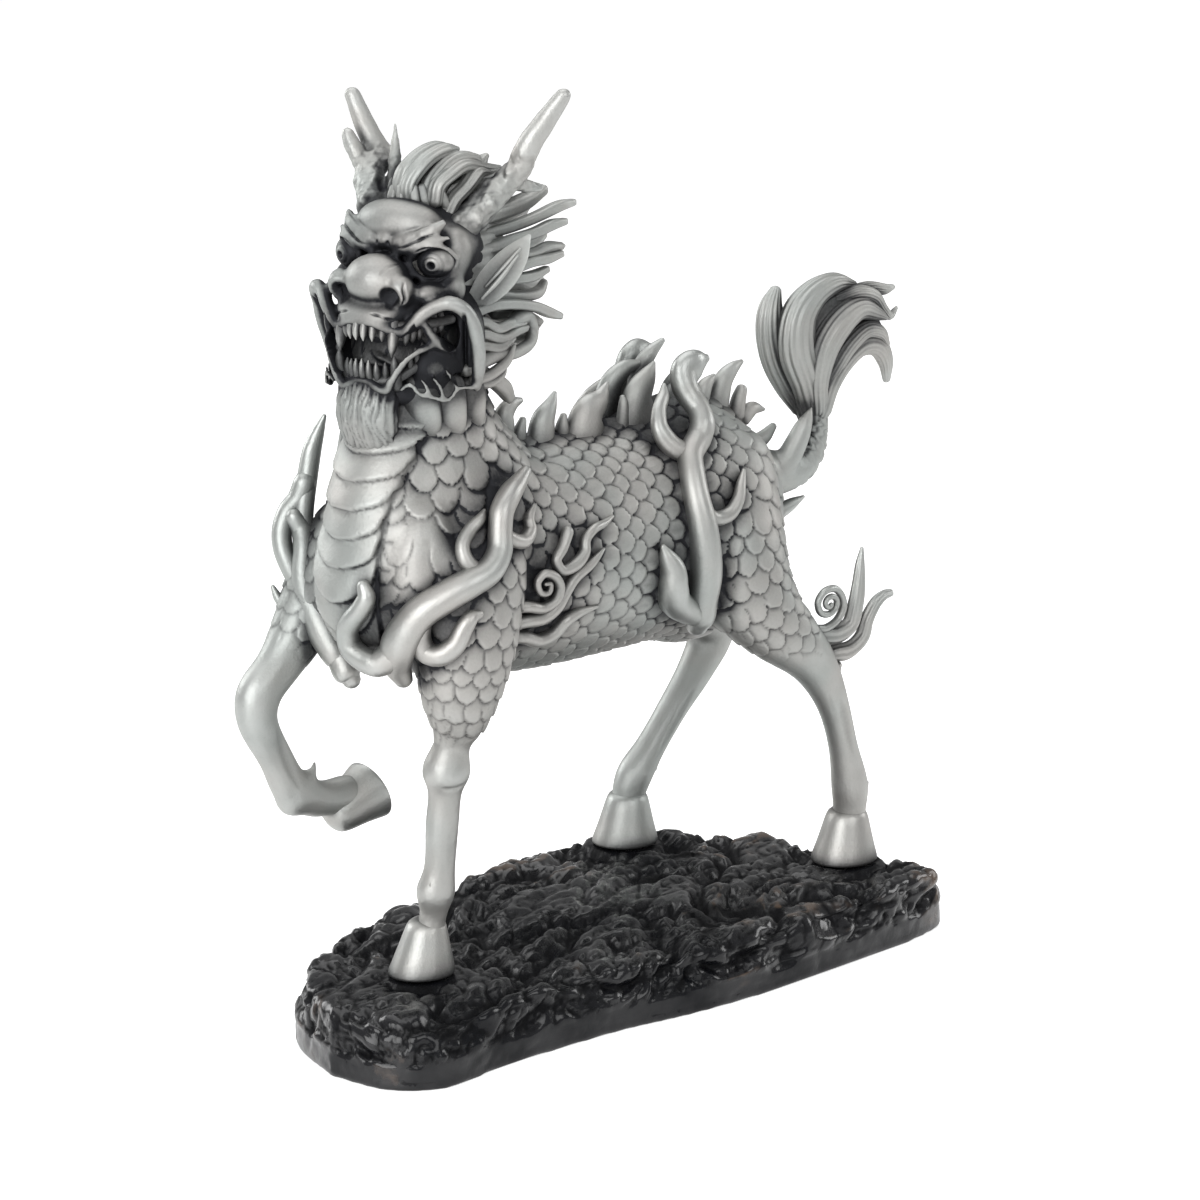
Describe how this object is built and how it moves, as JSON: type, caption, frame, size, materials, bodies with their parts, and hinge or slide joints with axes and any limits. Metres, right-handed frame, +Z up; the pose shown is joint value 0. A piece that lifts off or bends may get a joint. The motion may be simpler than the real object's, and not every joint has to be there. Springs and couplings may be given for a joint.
{
  "type": "qilin figure",
  "caption": "Satin pewter qilin with a dragon's head, scaled body and flame locks, one forefoot raised, standing on a low dark rock base.",
  "frame": {"origin": "centre of the bounding box on the rock base's flat underside", "axes": "+Z up, -X the way the beast faces, -Y the beast's left side, the one the picture shows"},
  "size_m": [0.2018, 0.0856, 0.2179],
  "materials": {
    "pewter": "satin antique pewter, dark in the hollows",
    "dark_stone": "satin black with rubbed brown edges"
  },
  "bodies": {
    "root": {"qilin": "pewter", "rock_base": "dark_stone"}
  },
  "joints": []
}
